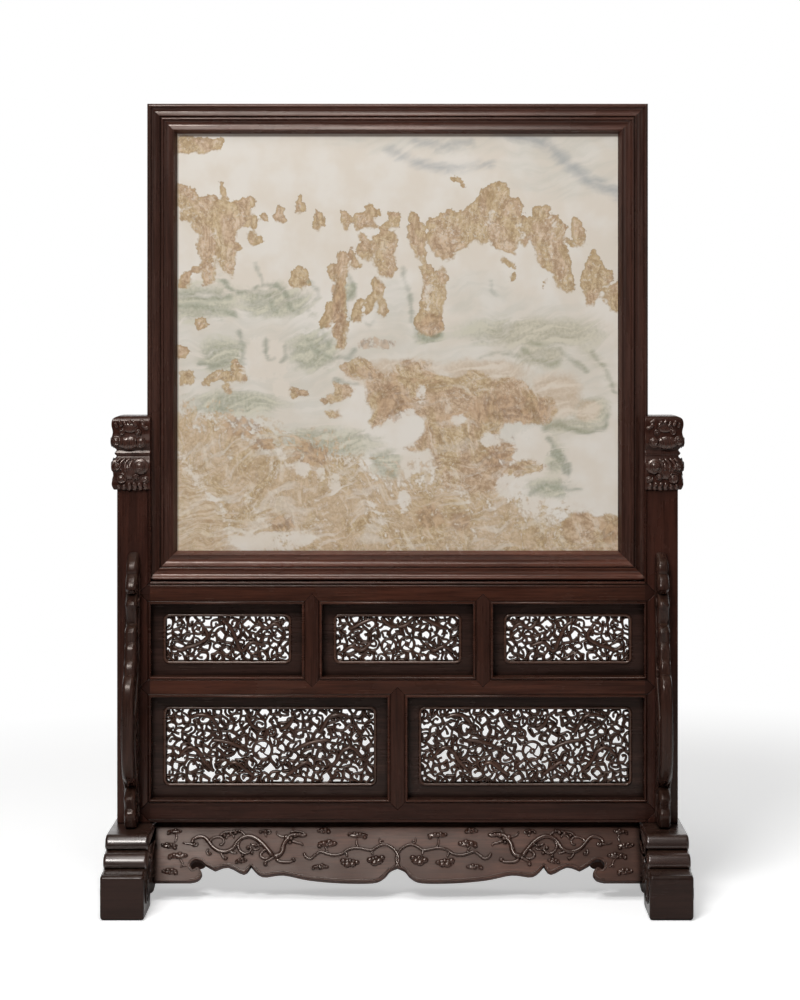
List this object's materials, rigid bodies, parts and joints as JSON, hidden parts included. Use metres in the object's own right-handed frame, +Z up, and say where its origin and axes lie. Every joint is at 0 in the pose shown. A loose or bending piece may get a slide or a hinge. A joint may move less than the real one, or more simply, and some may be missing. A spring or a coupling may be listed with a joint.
{
  "type": "table screen",
  "caption": "Free-standing hardwood table screen: a framed figured-stone panel that lifts out of a carved stand with openwork panels, sloping aprons and stepped feet.",
  "frame": {"origin": "on the ground, under the middle of the stand", "axes": "+Z up, +X to the right seen from the front, -Y towards the viewer of the carved stone face"},
  "size_m": [0.5412, 0.24, 0.7502],
  "materials": {
    "stone": "honed figured limestone or marble",
    "frame_wood": "dark satin polish",
    "stand_wood": "dark satin polish",
    "rail_wood": "reddish satin polish",
    "panel_wood": "dark satin polish, carved",
    "apron_wood": "greyed satin polish, carved"
  },
  "bodies": {
    "stand": {"left_foot": "stand_wood", "right_foot": "stand_wood", "left_post": "stand_wood", "right_post": "stand_wood", "front_left_spandrel": "stand_wood", "front_right_spandrel": "stand_wood", "back_left_spandrel": "stand_wood", "back_right_spandrel": "stand_wood", "top_rail": "rail_wood", "middle_rail": "rail_wood", "bottom_rail": "rail_wood", "left_strut": "rail_wood", "right_strut": "rail_wood", "lower_strut": "rail_wood", "upper_left_panel": "panel_wood", "upper_middle_panel": "panel_wood", "upper_right_panel": "panel_wood", "lower_left_panel": "panel_wood", "lower_right_panel": "panel_wood", "front_apron": "apron_wood", "back_apron": "apron_wood"},
    "screen": {"stone_panel": "stone", "back_board": "frame_wood", "upper_batten": "frame_wood", "lower_batten": "frame_wood", "frame_top": "frame_wood", "frame_bottom": "frame_wood", "frame_left_stile": "frame_wood", "frame_right_stile": "frame_wood"}
  },
  "joints": [
    {"name": "screen_lift", "type": "slide", "parent": "stand", "child": "screen", "axis": [0, 0, 1], "range_m": [0, 0.165]}
  ]
}
